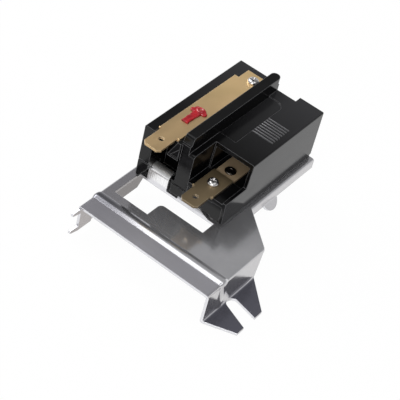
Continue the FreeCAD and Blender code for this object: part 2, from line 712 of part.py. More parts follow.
    # seat for the terminal strip, pad and grip lines on the roof
    block(body, "StripSeat", (f"{STRIP_LEFT} - seat_clearance", "-1", "strip_top - brass_thick"),
          (f"{STRIP_RIGHT} + seat_clearance", "strip_neck + seat_clearance", "strip_top + 1"), cut=True)
    block(body, "StripNeckSeat",
          (f"{STRIP_LEFT} + strip_step - seat_clearance", "strip_neck", "strip_top - brass_thick"),
          (f"{STRIP_RIGHT} + seat_clearance", "strip_end + seat_clearance", "strip_top + 1"), cut=True)
    pad_turn = "pad_corner"
    block(body, "RoofPad", ("-rib_right", "pad_front", "roof_top - pad_deep"),
          ("-pad_right", f"pad_rear - {pad_turn}", "roof_top + 1"), cut=True)
    block(body, "RoofPadRear", ("-rib_right", f"pad_rear - {pad_turn} - 0.1", "roof_top - pad_deep"),
          (f"-pad_right - {pad_turn}", "pad_rear", "roof_top + 1"), cut=True)
    drum(body, "RoofPadTurn", (f"-pad_right - {pad_turn}", f"pad_rear - {pad_turn}", "roof_top - pad_deep"),
         pad_turn, "1", cut=True)
    for line in range(int(sized("grip_count"))):
        start = f"grip_front + {line} * grip_pitch"
        block(body, f"Grip{line + 1}", ("-grip_left", start, "roof_top - 0.3"),
              ("-grip_left + grip_length", f"{start} + grip_width", "roof_top + grip_height"))

    # holes for the post, the calibration screw, the insert and the rivets
    top_hole = "(left_roof_thick + 2)"
    drum(body, "PostHole", ("-top_screw_x", "top_screw_y", f"block_top - {top_hole}"),
         "post_radius + thread_clearance", f"{top_hole} + 1", cut=True)
    drum(body, "TuningHole", ("-tuning_x", "tuning_y", f"block_top - {top_hole}"), "tuning_hole",
         f"{top_hole} + 1", cut=True)
    drum(body, "InsertHole", ("lower_middle", "lower_screw_y", f"{REAR_FLOOR} - insert_long"),
         "insert_radius + thread_clearance", "insert_long + 0.1", cut=True)
    for name, along in (("RivetHole", "rivet_y"), ("RootRivetHole", "root_rivet_y")):
        drum(body, name, ("lower_middle", along, f"{CHAMBER_TOP} - 1"), "rivet_shank + thread_clearance",
             "floor_thick + 2", cut=True)

    left, right_side = sized("block_left"), sized("roof_right")
    tops = (sized("block_top"), sized("roof_top"))

    def outer_edge(middle, way):
        on_side = near(middle.x, -left) or near(middle.x, right_side)
        along_top = abs(way.y) > 0.99 and on_side and any(near(middle.z, top) for top in tops)
        upright = abs(way.z) > 0.9 and on_side and middle.y > sized("block_rear") - 1
        rear_top = abs(way.x) > 0.99 and near(middle.z, tops[1]) \
            and near(middle.y, sized("block_rear") + sized("roof_tail"))
        return along_top or upright or rear_top

    soften(body, "OuterRounds", outer_edge, "corner_round")
    return body


def make_base_plate():
    """Fibre insulator between the housing and the bracket, open at the heat aperture."""
    body = new_body("base_plate")
    block(body, "Sheet", ("-block_left + base_inset", "rim_front + base_inset", "0"),
          ("roof_right - base_inset", "block_rear - base_inset", "base_thick"))
    block(body, "Tail", ("notch_right + base_inset", "block_rear - base_inset - 1", "0"),
          ("roof_right - base_inset", "roof_rear - base_inset", "base_thick"))
    block(body, "Toe", ("-block_left + base_inset", "base_inset", "0"),
          ("-block_left + base_inset + 0.6", "rim_front + 1", "base_thick"))
    block(body, "LowTabRelief", ("-low_tab_left - tab_clearance", "-1", "-1"),
          ("low_tab_right + tab_clearance", "tab_front + 2 * low_tab_curl + tab_clearance",
           "base_thick + 1"), cut=True)
    block(body, "Aperture", ("-aperture_left", "aperture_front", "-1"),
          ("aperture_right", "aperture_rear", "base_thick + 1"), cut=True)
    return body


# ---------------------------------------------------------------- brass terminals

def spade(body, name, half_tab, shoulder, tip, hole_y, top):
    """The rounded blade end of a quick-connect terminal, with its hole and stop nibs."""
    tab = outline(body, name + "Tab", "XY_Plane", [
        (f"-({half_tab})", f"{shoulder} + 0.5"), (f"-({half_tab})", f"-{tip} + blade_corner"),
        (f"-({half_tab}) + blade_corner * 0.9", f"-{tip}"), (f"{half_tab} - blade_corner * 0.9", f"-{tip}"),
        (half_tab, f"-{tip} + blade_corner"), (half_tab, f"{shoulder} + 0.5")], f"{top} - brass_thick")
    pad(body, tab, "brass_thick")
    drum(body, name + "Hole", ("0", f"-{hole_y}", f"{top} - brass_thick - 1"), "blade_hole",
         "brass_thick + 2", cut=True)
    for side in ("-1", "1"):
        nib = body.newObject("PartDesign::AdditiveSphere", name + "Nib" + side.replace("-", "L"))
        across = f"{side} * ({half_tab} + nib_radius)"
        bind_place(nib, (across, f"{shoulder} + nib_radius / 2", f"{top} - 0.1"))
        bind(nib, "Radius", "nib_radius")


def make_top_terminal():
    """Long brass strip on the left block: spade in front, neck and screw hole at the rear."""
    body = new_body("top_terminal", ("-strip_middle", "0", "0"))
    block(body, "Strip", ("-strip_width / 2", "strip_shoulder", "strip_top - brass_thick"),
          ("strip_width / 2", "strip_neck", "strip_top"))
    block(body, "Neck", ("-strip_width / 2 + strip_step", "strip_neck - 1", "strip_top - brass_thick"),
          ("strip_width / 2", "strip_end", "strip_top"))
    spade(body, "Top", "blade_width / 2", "strip_shoulder", "strip_tip", "strip_hole_y", "strip_top")
    drum(body, "ScrewHole", ("strip_middle - top_screw_x", "top_screw_y", "strip_top - 2 * brass_thick"),
         "screw_core + 2 * thread_clearance", "brass_thick * 3", cut=True)
    drum(body, "TuningHole", ("strip_middle - tuning_x", "tuning_y", "strip_top - 2 * brass_thick"),
         "tuning_radius + thread_clearance", "brass_thick * 3", cut=True)
    return body


def make_lower_terminal():
    """Short brass terminal on the channel floor: spade in front, screwed down in the middle."""
    body = new_body("lower_terminal", ("lower_middle", "0", "0"))
    block(body, "Land", ("-lower_width / 2", "lower_shoulder", FRONT_FLOOR),
          ("lower_width / 2", "lower_end", "lower_top"))
    spade(body, "Lower", "blade_width / 2", "lower_shoulder", "lower_tip", "lower_hole_y", "lower_top")
    drum(body, "ScrewHole", ("0", "lower_screw_y", FRONT_FLOOR + " - 1"), "screw_core + 2 * thread_clearance",
         "brass_thick + 2", cut=True)
    return body


def make_contact_plate():
    """Brass bar under the lower terminal that runs back through the channel to the blade root."""
    body = new_body("contact_plate", ("lower_middle", "0", "0"))
    block(body, "Bar", ("-contact_width / 2", "contact_front", REAR_FLOOR),
          ("contact_width / 2", "contact_end", FRONT_FLOOR))
    for name, along, radius in (("ScrewHole", "lower_screw_y", "screw_core + 2 * thread_clearance"),
                                ("RivetHole", "rivet_y", "rivet_shank + thread_clearance"),
                                ("RootRivetHole", "root_rivet_y", "rivet_shank + thread_clearance")):
        drum(body, name, ("0", along, REAR_FLOOR + " - 1"), radius, "brass_thick + 2", cut=True)
    return body


# ---------------------------------------------------------------- screws, post, insert and rivets

def make_screw(label, place, length):
    """Pan-head screw with a cross recess; its zero is under the head."""
    body = new_body(label, place)
    drum(body, "Head", ("0", "0", "0"), "screw_head", "screw_head_high * 0.6")
    crown = body.newObject("PartDesign::AdditiveCone", "Crown")
    bind_place(crown, ("0", "0", "screw_head_high * 0.6"))
    bind(crown, "Radius1", "screw_head")
    bind(crown, "Radius2", "screw_head * 0.62")
    bind(crown, "Height", "screw_head_high * 0.4")
    drum(body, "Shank", ("0", "0", f"-{length}"), "screw_core", length)
    bars = (("SlotX", "cross_length", "cross_width"), ("SlotY", "cross_width", "cross_length"))
    for name, across, along in bars:
        block(body, name, (f"-{across} / 2", f"-{along} / 2", "screw_head_high - cross_deep"),
              (f"{across} / 2", f"{along} / 2", "screw_head_high + 1"), cut=True)
    return body


def make_post():
    """Threaded brass post that carries the strip's screw above and the arm's root below."""
    body = new_body("terminal_post", ("-top_screw_x", "top_screw_y", "0"))
    seat = "blade_level + 2 * contact_high + contact_gap + blade_thick + lap_clearance + arm_root_thick"
    drum(body, "Stem", ("0", "0", seat), "post_radius", f"strip_top - brass_thick - ({seat})")
    drum(body, "Spigot", ("0", "0", f"{seat} - arm_root_thick - nut_thick - 0.4"), "spigot_radius",
         "arm_root_thick + nut_thick + 0.5")
    drum(body, "Thread", ("0", "0", "strip_top - brass_thick - top_screw_long - 0.5"),
         "screw_core + thread_clearance", "top_screw_long + 1", cut=True)
    return body


def make_nut():
    """Hexagon nut that clamps the arm's root to the post."""
    body = new_body("post_nut", ("-top_screw_x", "top_screw_y", ARM_TOP + " + lap_clearance - nut_thick"))
    corners = []
    for turn in range(6):
        corners.append((f"nut_across / 1.732 * cos({60 * turn})", f"nut_across / 1.732 * sin({60 * turn})"))
    pad(body, outline(body, "Hexagon", "XY_Plane", corners), "nut_thick")
    drum(body, "Thread", ("0", "0", "-1"), "spigot_radius + thread_clearance", "nut_thick + 2", cut=True)
    return body


def make_insert():
    """Threaded brass insert moulded into the channel floor."""
    body = new_body("terminal_insert", ("lower_middle", "lower_screw_y", f"{REAR_FLOOR} - insert_long"))
    drum(body, "Bush", ("0", "0", "0"), "insert_radius", "insert_long")
    drum(body, "Thread", ("0", "0", "0.6"), "screw_core + thread_clearance", "insert_long", cut=True)
    return body


def make_rivet(label, along, bottom):
    """Tubular rivet through the contact plate and the floor, flared underneath."""
    body = new_body(label, ("lower_middle", along, FRONT_FLOOR))
    reach = f"{FRONT_FLOOR} - ({bottom})"
    drum(body, "Head", ("0", "0", "0"), "rivet_head", "rivet_head_high")
    drum(body, "Shank", ("0", "0", f"-({reach})"), "rivet_shank", f"{reach} + 0.1")
    drum(body, "Flare", ("0", "0", f"-({reach}) - rivet_head_high"), "rivet_flare", "rivet_head_high")
    drum(body, "Bore", ("0", "0", f"-({reach}) - 2"), "rivet_bore", f"{reach} + 4", cut=True)
    return body


# ---------------------------------------------------------------- blades, arm and contacts

ARM_BOTTOM = "blade_level + 2 * contact_high + contact_gap"
ARM_TOP = "blade_level + 2 * contact_high + contact_gap + blade_thick"


def make_blade_root():
    """Brass block under the floor that holds the sensing blade's rear end."""
    body = new_body("blade_root", ("lower_middle", "0", "blade_level"))
    top = f"{CHAMBER_TOP} - blade_level"
    block(body, "Block", ("-blade_left - lower_middle", "root_front", "lap_clearance"),
          ("blade_right - lower_middle", "root_rear", top))
    drum(body, "RivetHole", ("0", "root_rivet_y", "-1"), "rivet_shank + thread_clearance",
         f"{top} + 2", cut=True)
    return body


def make_sensing_blade():
    """Bimetal blade over the heat aperture; its front end turns left to carry the moving contact."""
    body = new_body("sensing_blade", ("0", "0", "blade_level - blade_thick"))
    block(body, "Leaf", ("-blade_left", "blade_front", "0"), ("blade_right", "blade_rear", "blade_thick"))
    block(body, "Arm", ("-blade_arm_end", "blade_front", "0"),
          ("blade_right", "blade_arm_rear", "blade_thick"))
    return body


def make_contact(label, low):
    """Silver button under the calibration screw."""
    body = new_body(label, ("-tuning_x", "tuning_y", low))
    drum(body, "Button", ("0", "0", "0"), "contact_radius", "contact_high")
    return body


def make_arm_root():
    """Brass plate clamped under the post, to which the compensating arm is welded."""
    body = new_body("arm_root", ("-tuning_x", "0", ARM_TOP + " + lap_clearance"))
    block(body, "Plate", ("-arm_half", "arm_root_front", "0"),
          ("tuning_x - top_screw_x + post_radius + 0.6", "arm_root_rear", "arm_root_thick"))
    drum(body, "PostHole", ("tuning_x - top_screw_x", "top_screw_y", "-1"),
         "spigot_radius + thread_clearance", "arm_root_thick + 2", cut=True)
    return body


def make_compensating_arm():
    """Bimetal arm that carries the fixed contact and leans on the calibration screw."""
    body = new_body("compensating_arm", ("-tuning_x", "0", ARM_BOTTOM))
    block(body, "Leaf", ("-arm_half", "arm_front", "0"), ("arm_half", "arm_rear", "blade_thick"))
    return body


def make_calibration_screw():
    """Headless slotted screw through the strip; its tip stands on the arm."""
    body = new_body("calibration_screw", ("-tuning_x", "tuning_y", ARM_TOP + " + lap_clearance"))
    top = f"strip_top + tuning_proud - ({ARM_TOP} + lap_clearance)"
    drum(body, "Stem", ("0", "0", "0"), "tuning_radius", top)
    block(body, "Slot", ("-tuning_radius - 1", "-cross_width / 2", f"{top} - cross_deep"),
          ("tuning_radius + 1", "cross_width / 2", f"{top} + 1"), cut=True)
    return body


def make_seal():
    """Lacquer seal: a stem and a head round the calibration screw, set on the strip."""
    body = new_body("lacquer_seal", ("-tuning_x", "0", "strip_top"))
    stem = outline(body, "Stem", "XY_Plane", [
        ("-seal_stem / 2", "seal_stem_end"), ("seal_stem / 2", "seal_stem_end"),
        ("seal_stem / 2", "seal_neck"), ("seal_head * 0.7", "tuning_y"), ("-seal_head * 0.7", "tuning_y"),
        ("-seal_stem / 2", "seal_neck")])
    pad(body, stem, "seal_thick")
    drum(body, "Head", ("0", "tuning_y", "0"), "seal_head", "seal_thick")
    drum(body, "ScrewHole", ("0", "tuning_y", "-1"), "tuning_radius + thread_clearance",
         "seal_thick + 2", cut=True)
    return body


# ---------------------------------------------------------------- assembly

bracket = make_bracket()
add_clamp_tabs(bracket)
SUB_PARTS = [
    bracket,
    make_housing(),
    make_base_plate(),
    make_top_terminal(),
    make_lower_terminal(),
    make_contact_plate(),
    make_screw("top_terminal_screw", ("-top_screw_x", "top_screw_y", "strip_top"), "top_screw_long"),
    make_screw("lower_terminal_screw", ("lower_middle", "lower_screw_y", "lower_top"), "lower_screw_long"),
    make_post(),
    make_nut(),
    make_insert(),
    make_rivet("hollow_rivet", "rivet_y", CHAMBER_TOP),
    make_rivet("blade_root_rivet", "root_rivet_y", "blade_level + lap_clearance"),
    make_blade_root(),
    make_sensing_blade(),
    make_contact("moving_contact", "blade_level"),
    make_contact("fixed_contact", "blade_level + contact_high + contact_gap"),
    make_arm_root(),
    make_compensating_arm(),
    make_calibration_screw(),
    make_seal(),
]
doc.recompute()

for item in doc.Objects:
    if "Invalid" in item.State or "Error" in item.State:
        raise RuntimeError(f"{item.Name} failed: {item.State}")
for body in SUB_PARTS:
    if body.Shape.isNull() or not body.Shape.isValid() or not body.Shape.Solids:
        raise RuntimeError(f"{body.Label} has no valid solid")

os.makedirs("parts", exist_ok=True)
for body in SUB_PARTS:
    body.Shape.exportStep(f"parts/{body.Label}.step")
    print(f"{body.Label}: {len(body.Shape.Solids)} solid(s), {body.Shape.Volume:.1f} mm3")
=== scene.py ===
# %% [markdown]
# # Radiant flame sensor
# A small heat-operated switch: a black moulded housing, two brass spade terminals, a spot of red
# lacquer on the calibration screw, and a bent aluminium bracket that clamps it all together.
# The solid model is loaded first as a fixed frame; every piece made here is placed from its boxes.

# %% Load the frame
import bpy
import math
import bmesh
from mathutils import Matrix, Vector, noise


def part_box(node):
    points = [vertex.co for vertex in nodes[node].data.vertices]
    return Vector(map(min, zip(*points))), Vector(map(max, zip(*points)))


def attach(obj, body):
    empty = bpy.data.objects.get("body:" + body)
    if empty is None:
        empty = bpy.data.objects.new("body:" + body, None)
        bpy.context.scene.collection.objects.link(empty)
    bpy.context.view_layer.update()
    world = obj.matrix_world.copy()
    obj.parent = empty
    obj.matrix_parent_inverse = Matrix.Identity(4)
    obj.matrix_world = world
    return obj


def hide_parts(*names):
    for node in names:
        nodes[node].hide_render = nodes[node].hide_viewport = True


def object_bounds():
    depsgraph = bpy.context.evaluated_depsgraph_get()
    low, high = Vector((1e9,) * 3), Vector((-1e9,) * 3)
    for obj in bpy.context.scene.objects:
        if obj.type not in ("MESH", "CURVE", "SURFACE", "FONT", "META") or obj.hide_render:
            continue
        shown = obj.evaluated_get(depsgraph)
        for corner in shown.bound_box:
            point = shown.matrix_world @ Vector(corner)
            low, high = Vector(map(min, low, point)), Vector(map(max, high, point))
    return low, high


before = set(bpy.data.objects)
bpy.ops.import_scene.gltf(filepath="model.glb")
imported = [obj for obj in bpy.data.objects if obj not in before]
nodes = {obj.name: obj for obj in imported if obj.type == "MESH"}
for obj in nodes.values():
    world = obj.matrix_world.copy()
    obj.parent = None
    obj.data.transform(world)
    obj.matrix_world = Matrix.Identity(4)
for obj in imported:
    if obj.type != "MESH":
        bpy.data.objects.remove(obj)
cad_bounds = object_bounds()
MM = 0.001
print("nodes:", len(nodes), "bounds:", cad_bounds)

# %% [markdown]
# ## Camera
# A product picture is often taken from far away with a long lens, which keeps parallel edges nearly
# parallel. Here the camera stands about 43 cm away, a little above and to the right, slightly rolled.

# %% Camera
CAMERA_AT = (0.12113, -0.26837, 0.30735)
CAMERA_RIGHT = (0.77744317, 0.60065668, 0.18653064)
CAMERA_DOWN = (0.52746539, -0.46112264, -0.7135448)
CAMERA_AHEAD = (-0.34258195, 0.65312898, -0.67532225)
LENS_MM = 127.485

camera_data = bpy.data.cameras.new("product_camera")
camera_data.lens = LENS_MM
camera_data.sensor_width = 36.0
camera_data.clip_start = 0.01
camera_data.clip_end = 20.0
camera = bpy.data.objects.new("product_camera", camera_data)
turn = Matrix((CAMERA_RIGHT, [-c for c in CAMERA_DOWN], [-c for c in CAMERA_AHEAD])).transposed()
camera.matrix_world = Matrix.Translation(CAMERA_AT) @ turn.to_4x4()
bpy.context.scene.collection.objects.link(camera)
bpy.context.scene.camera = camera
print("camera lens:", LENS_MM, "mm")

# %% [markdown]
# ## Small helpers for materials
# A material is a graph of nodes. Writing it out in full each time hides the idea, so these helpers
# make a node, set its plain values, and join it to others in one line.

# %% Material helpers
def add(tree, kind, values=None, links=None, **props):
    """One node: properties by name, socket values by name, and links as socket name to output."""
    node = tree.nodes.new(kind)
    for key, value in props.items():
        setattr(node, key, value)
    for key, value in (values or {}).items():
        node.inputs[key].default_value = value
    for key, output in (links or {}).items():
        tree.links.new(output, node.inputs[key])
    return node


def new_finish(name):
    """An empty material with a Principled surface; gives the material, its tree and the surface."""
    finish = bpy.data.materials.new(name)
    finish.use_nodes = True
    tree = finish.node_tree
    tree.nodes.clear()
    surface = add(tree, "ShaderNodeBsdfPrincipled")
    add(tree, "ShaderNodeOutputMaterial", links={"Surface": surface.outputs["BSDF"]})
    return finish, tree, surface


def object_place(tree, scale=(1, 1, 1), turn=(0, 0, 0)):
    """Object coordinates, stretched and turned by a Mapping node."""
    place = add(tree, "ShaderNodeTexCoord")
    return add(tree, "ShaderNodeMapping", {"Scale": scale, "Rotation": turn},
               {"Vector": place.outputs["Object"]}).outputs["Vector"]


def cloud(tree, where, scale, detail=3.0, rough=0.5):
    """A noise pattern; gives its grey value."""
    return add(tree, "ShaderNodeTexNoise", {"Scale": scale, "Detail": detail, "Roughness": rough},
               {"Vector": where}).outputs["Fac"]


def remap(tree, value, low, high, to_low, to_high):
    """Stretch a value from one range to another, clamped."""
    return add(tree, "ShaderNodeMapRange",
               {"From Min": low, "From Max": high, "To Min": to_low, "To Max": to_high},
               {"Value": value}).outputs["Result"]


def times(tree, first, second):
    """The product of two grey values."""
    return add(tree, "ShaderNodeMath", operation="MULTIPLY", links={0: first, 1: second}).outputs[0]


def plus(tree, first, second):
    """The sum of two grey values."""
    return add(tree, "ShaderNodeMath", operation="ADD", links={0: first, 1: second}).outputs[0]


def place_axes(tree):
    """The X, Y and Z of the place in the part's own frame, in metres."""
    place = add(tree, "ShaderNodeTexCoord")
    return add(tree, "ShaderNodeSeparateXYZ", links={"Vector": place.outputs["Object"]}).outputs


def normal_axes(tree):
    """The X, Y and Z of the direction that the face looks in."""
    facing = add(tree, "ShaderNodeNewGeometry")
    return add(tree, "ShaderNodeSeparateXYZ", links={"Vector": facing.outputs["True Normal"]}).outputs


def blend_colour(tree, amount, first, second):
    """Mix two colours; each may be a plain colour or an output."""
    mix = add(tree, "ShaderNodeMix", data_type="RGBA")
    tree.links.new(amount, mix.inputs["Factor"])
    for socket, colour in ((mix.inputs[6], first), (mix.inputs[7], second)):
        if isinstance(colour, tuple):
            socket.default_value = colour + (1.0,)
        else:
            tree.links.new(colour, socket)
    return mix.outputs[2]


EDGE_STARTS, EDGE_FULL = 0.965, 0.72    # how far the rounded normal agrees with the flat one


def painted_edge_highlight(tree, radius, strength=1.0):
    """A painted edge highlight: a grey value that rises on convex and concave edges, and the rounded
    normal itself.
    """
    rounded = add(tree, "ShaderNodeBevel", {"Radius": radius}, samples=8)
    flat = add(tree, "ShaderNodeNewGeometry")
    same = add(tree, "ShaderNodeVectorMath", operation="DOT_PRODUCT",
               links={0: rounded.outputs["Normal"], 1: flat.outputs["True Normal"]})
    edge = remap(tree, same.outputs["Value"], EDGE_STARTS, EDGE_FULL, 0.0, strength)
    return edge, rounded.outputs["Normal"]


def dress(finish, *names):
    """Give a finish to CAD nodes or to new pieces."""
    for name in names:
        item = nodes[name] if isinstance(name, str) else name
        item.data.materials.clear()
        item.data.materials.append(finish)


# %% [markdown]
# ## Bright aluminium
# The bracket is cold-rolled sheet, blanked and bent. Rolling leaves fine lines along the strip and a
# mirror that is a little cloudy: a noise pattern stretched along X drives both bump and roughness.
# A bare mirror shows a studio that isn't modelled in full, so painted reflection and shade go into its
# tone by place:
# the front strip, the left end, the legs, the bead groove and the foot are darker with painted shade and
# reflection, and the clamp tabs get a painted highlight with painted shade on their tops. Each zone is a
# ramp along one axis, and two ramps multiplied give a corner.

# %% Aluminium
# zone: its axis, where it starts and where it is full, in metres; the zones place the painted reflection
# and shade, and the tabs' pressed lines
SHEET_ZONES = {
    "low": ("Z", 0.0019, 0.0011),
    "outer": ("X", -0.0024, -0.0016),
    "tabs": ("Z", 0.0126, 0.0134),
    "raised": ("Z", 0.0115, 0.0119),
    "front": ("Y", -0.0064, -0.0072),
    "west": ("X", -0.030, -0.046),
    "left_end": ("X", -0.048, -0.0495),
    "behind_bead": ("Y", -0.008, -0.002),
    "bead_front": ("Y", -0.0071, -0.0067),
    "bead_rear": ("Y", -0.0030, -0.0034),
}
SHEET_METAL = 0.88
SHEET_ROUGH = (0.13, 0.22)
FRONT_ROUGHER = 0.26
TAB_ROUGHER = (0.24, 0.44)


def make_aluminium():
    finish, tree, surface = new_finish("rolled_aluminium")
    lines = cloud(tree, object_place(tree, (60, 2600, 2600)), 1.0, 4.0)
    stamp_lines = cloud(tree, object_place(tree, (2600, 60, 60)), 1.0, 3.0)
    blotch = cloud(tree, object_place(tree), 90.0, 3.0)
    mottle = cloud(tree, object_place(tree), 1500.0, 2.0)
    place, facing = place_axes(tree), normal_axes(tree)
    zones = {name: remap(tree, place[axis], start, full, 0.0, 1.0)
             for name, (axis, start, full) in SHEET_ZONES.items()}

    upward = remap(tree, facing["Z"], 0.3, 0.9, 0.0, 1.0)
    sideways = add(tree, "ShaderNodeMath", operation="ABSOLUTE", links={0: facing["X"]}).outputs[0]
    tall = remap(tree, sideways, 0.6, 0.95, 0.0, 1.0)
    foot = times(tree, times(tree, zones["low"], zones["outer"]), upward)
    plate = times(tree, zones["raised"], upward)
    front = times(tree, zones["front"], plate)
    west = times(tree, zones["west"], plate)
    left_tall = times(tree, zones["left_end"], tall)
    bead = times(tree, zones["bead_front"], zones["bead_rear"])
    tab_top = times(tree, zones["tabs"], upward)

    # painted highlight: the clamp tabs are lighter, crossed by their real pressed lines; painted shade
    # darkens the tabs' upward faces, with a mottle
    tab_lines_and_painted_highlight = blend_colour(tree, remap(tree, stamp_lines, 0.38, 0.62, 0.0, 1.0),
                                (1.0, 1.0, 1.0), (0.86, 0.86, 0.87))
    tab_top_painted_shade = blend_colour(tree, remap(tree, mottle, 0.4, 0.6, 0.0, 1.0),
                               (0.55, 0.55, 0.55), (0.36, 0.36, 0.36))
    edge, rounded = painted_edge_highlight(tree, 0.00022, 0.8)
    tone = blend_colour(tree, remap(tree, blotch, 0.35, 0.65, 0.0, 1.0),
                        (0.80, 0.80, 0.83), (0.72, 0.72, 0.75))
    # painted reflection and shade by place: the west plate, the front strip, the side walls, the bead
    # groove, the left leg under the plate and the foot are darker; the tabs get a painted highlight and
    # their tops painted shade; the edges get a painted highlight
    coats = [
        (west, (0.46, 0.45, 0.48)),
        (front, (0.38, 0.375, 0.405)),
        (times(tree, front, west), (0.27, 0.265, 0.29)),
        (tall, (0.53, 0.52, 0.53)),
        (times(tree, bead, west), (0.20, 0.20, 0.22)),
        (left_tall, (0.40, 0.375, 0.37)),
        (times(tree, left_tall, zones["behind_bead"]), (0.20, 0.185, 0.18)),
        (zones["tabs"], tab_lines_and_painted_highlight),
        (tab_top, tab_top_painted_shade),
        (foot, (0.24, 0.24, 0.29)),
        (edge, (0.92, 0.92, 0.94)),
    ]
    for mask, coat in coats:
        tone = blend_colour(tree, mask, tone, coat)
    tree.links.new(tone, surface.inputs["Base Color"])
    surface.inputs["Metallic"].default_value = SHEET_METAL

    rough = remap(tree, lines, 0.3, 0.7, *SHEET_ROUGH)
    matte = add(tree, "ShaderNodeMath", {1: FRONT_ROUGHER}, {0: front}, operation="MULTIPLY").outputs[0]
    rubbed = times(tree, remap(tree, mottle, 0.35, 0.65, *TAB_ROUGHER), tab_top)
    rough = plus(tree, plus(tree, rough, matte), rubbed)
    tree.links.new(rough, surface.inputs["Roughness"])
    bump = add(tree, "ShaderNodeBump", {"Strength": 0.05, "Distance": 0.00002},
               {"Height": lines, "Normal": rounded})
    pressed = add(tree, "ShaderNodeBump", {"Distance": 0.00003},
                  {"Height": stamp_lines, "Normal": bump.outputs["Normal"], "Strength": zones["tabs"]})
    tree.links.new(pressed.outputs["Normal"], surface.inputs["Normal"])
    return finish


dress(make_aluminium(), "mounting_bracket")
print("aluminium: sheet, front strip, clamp tabs and foot share one finish")

# %% [markdown]
# ## Black moulding
# The housing is a glossy black thermoset. Its edges leave the mould slightly rounded and get a painted
# highlight as thin grey lines, its faces have a very faint flow pattern, and the roofs have a painted
# reflection that makes them a little greyer towards the rear.

# %% Housing
ROOF_PAINTED_SHEEN = (0.024, 0.060)          # along Y, from black to the painted grey reflection
BELOW_RIB_TOP = (0.0332, 0.0345)    # in Z, so that the barrier rib's top stays black


def make_moulding():
    finish, tree, surface = new_finish("black_moulding")
    flow = cloud(tree, object_place(tree, (1, 0.4, 1)), 260.0, 3.0)
    grain = cloud(tree, object_place(tree), 2600.0, 2.0)
    edge, rounded = painted_edge_highlight(tree, 0.00035, 1.0)
    place, facing = place_axes(tree), normal_axes(tree)
    # painted reflection: upward roof faces turn grey towards the rear, below the rib's top
    rear = remap(tree, place["Y"], *ROOF_PAINTED_SHEEN, 0.0, 1.0)
    rear = times(tree, rear, remap(tree, place["Z"], *BELOW_RIB_TOP, 1.0, 0.0))
    rear = times(tree, rear, remap(tree, facing["Z"], 0.3, 0.9, 0.0, 1.0))
    tone = blend_colour(tree, flow, (0.0015, 0.0015, 0.0017), (0.0030, 0.0030, 0.0033))
    tone = blend_colour(tree, rear, tone, (0.026, 0.026, 0.028))
    # painted highlight on the moulded edges
    tone = blend_colour(tree, edge, tone, (0.15, 0.15, 0.157))
    tree.links.new(tone, surface.inputs["Base Color"])
    surface.inputs["Specular IOR Level"].default_value = 0.29
    tree.links.new(remap(tree, flow, 0.3, 0.7, 0.10, 0.20), surface.inputs["Roughness"])
    bump = add(tree, "ShaderNodeBump", {"Strength": 0.12, "Distance": 0.00003},
               {"Height": grain, "Normal": rounded})
    tree.links.new(bump.outputs["Normal"], surface.inputs["Normal"])
    return finish


moulding = make_moulding()
dress(moulding, "housing")
print("housing:", moulding.name)

# %% [markdown]
# ## Fibre sheet
# The thin plate under the housing keeps it off the metal. It is a dark, dull, pressed fibre.

# %% Base plate
def make_fibre():
    finish, tree, surface = new_finish("pressed_fibre")
    threads = cloud(tree, object_place(tree, (1, 3, 1)), 1500.0, 4.0)
    tone = blend_colour(tree, threads, (0.016, 0.016, 0.017), (0.035, 0.034, 0.033))
    tree.links.new(tone, surface.inputs["Base Color"])
    tree.links.new(remap(tree, threads, 0.3, 0.7, 0.55, 0.8), surface.inputs["Roughness"])
    bump = add(tree, "ShaderNodeBump", {"Strength": 0.3, "Distance": 0.00004}, {"Height": threads})
    tree.links.new(bump.outputs["Normal"], surface.inputs["Normal"])
    return finish


fibre = make_fibre()
dress(fibre, "base_plate")
print("base plate:", fibre.name)

# %% [markdown]
# ## Brass
# Four tones of the same metal: the top strip is sandy with pinker patches, the lower terminal is a darker
# copy with painted shade, the plate behind it is a lighter, less metallic copy with painted light, and the
# hidden turned parts are yellower. One function makes them all, with a painted highlight on the edges.
# The front ends are darker than the rear.

# %% Brass
FRONT_DARKER_ENDS = (0.024, 0.046)    # along Y, from the darker front end to the plain tone


def make_brass(name, light, dark, rough, edge_tone, metal=1.0, front_dark_share=0.9):
    finish, tree, surface = new_finish(name)
    patches = cloud(tree, object_place(tree, (1, 0.6, 1)), 170.0, 4.0, 0.6)
    lines = cloud(tree, object_place(tree, (2400, 90, 2400)), 1.0, 3.0)
    specks = cloud(tree, object_place(tree), 1900.0, 2.0)
    edge, rounded = painted_edge_highlight(tree, 0.00014, 0.9)
    tone = blend_colour(tree, remap(tree, patches, 0.32, 0.68, 0.0, 1.0), light, dark)
    tone = blend_colour(tree, remap(tree, specks, 0.62, 0.75, 0.0, 0.35), tone, dark)
    # darker towards the front end
    ahead = remap(tree, place_axes(tree)["Y"], *FRONT_DARKER_ENDS, 1.0, 0.0)
    tone = blend_colour(tree, ahead, tone, tuple(c * front_dark_share for c in dark))
    tone = blend_colour(tree, edge, tone, edge_tone)
    tree.links.new(tone, surface.inputs["Base Color"])
    surface.inputs["Metallic"].default_value = metal
    tree.links.new(remap(tree, patches, 0.3, 0.7, rough, rough + 0.1), surface.inputs["Roughness"])
    bump = add(tree, "ShaderNodeBump", {"Strength": 0.08, "Distance": 0.00002},
               {"Height": lines, "Normal": rounded})
    tree.links.new(bump.outputs["Normal"], surface.inputs["Normal"])
    return finish


strip_brass = make_brass("strip_brass", (0.97, 0.71, 0.36), (0.88, 0.63, 0.34), 0.36,
                         (1.0, 0.93, 0.74), front_dark_share=0.68)
# painted shade: a darker copy of the brass for the lower terminal in the cavity
shaded_tongue_brass = make_brass("shaded_tongue_brass", (0.42, 0.32, 0.18), (0.32, 0.24, 0.14), 0.30,
                          (0.92, 0.82, 0.62), metal=0.8, front_dark_share=0.85)
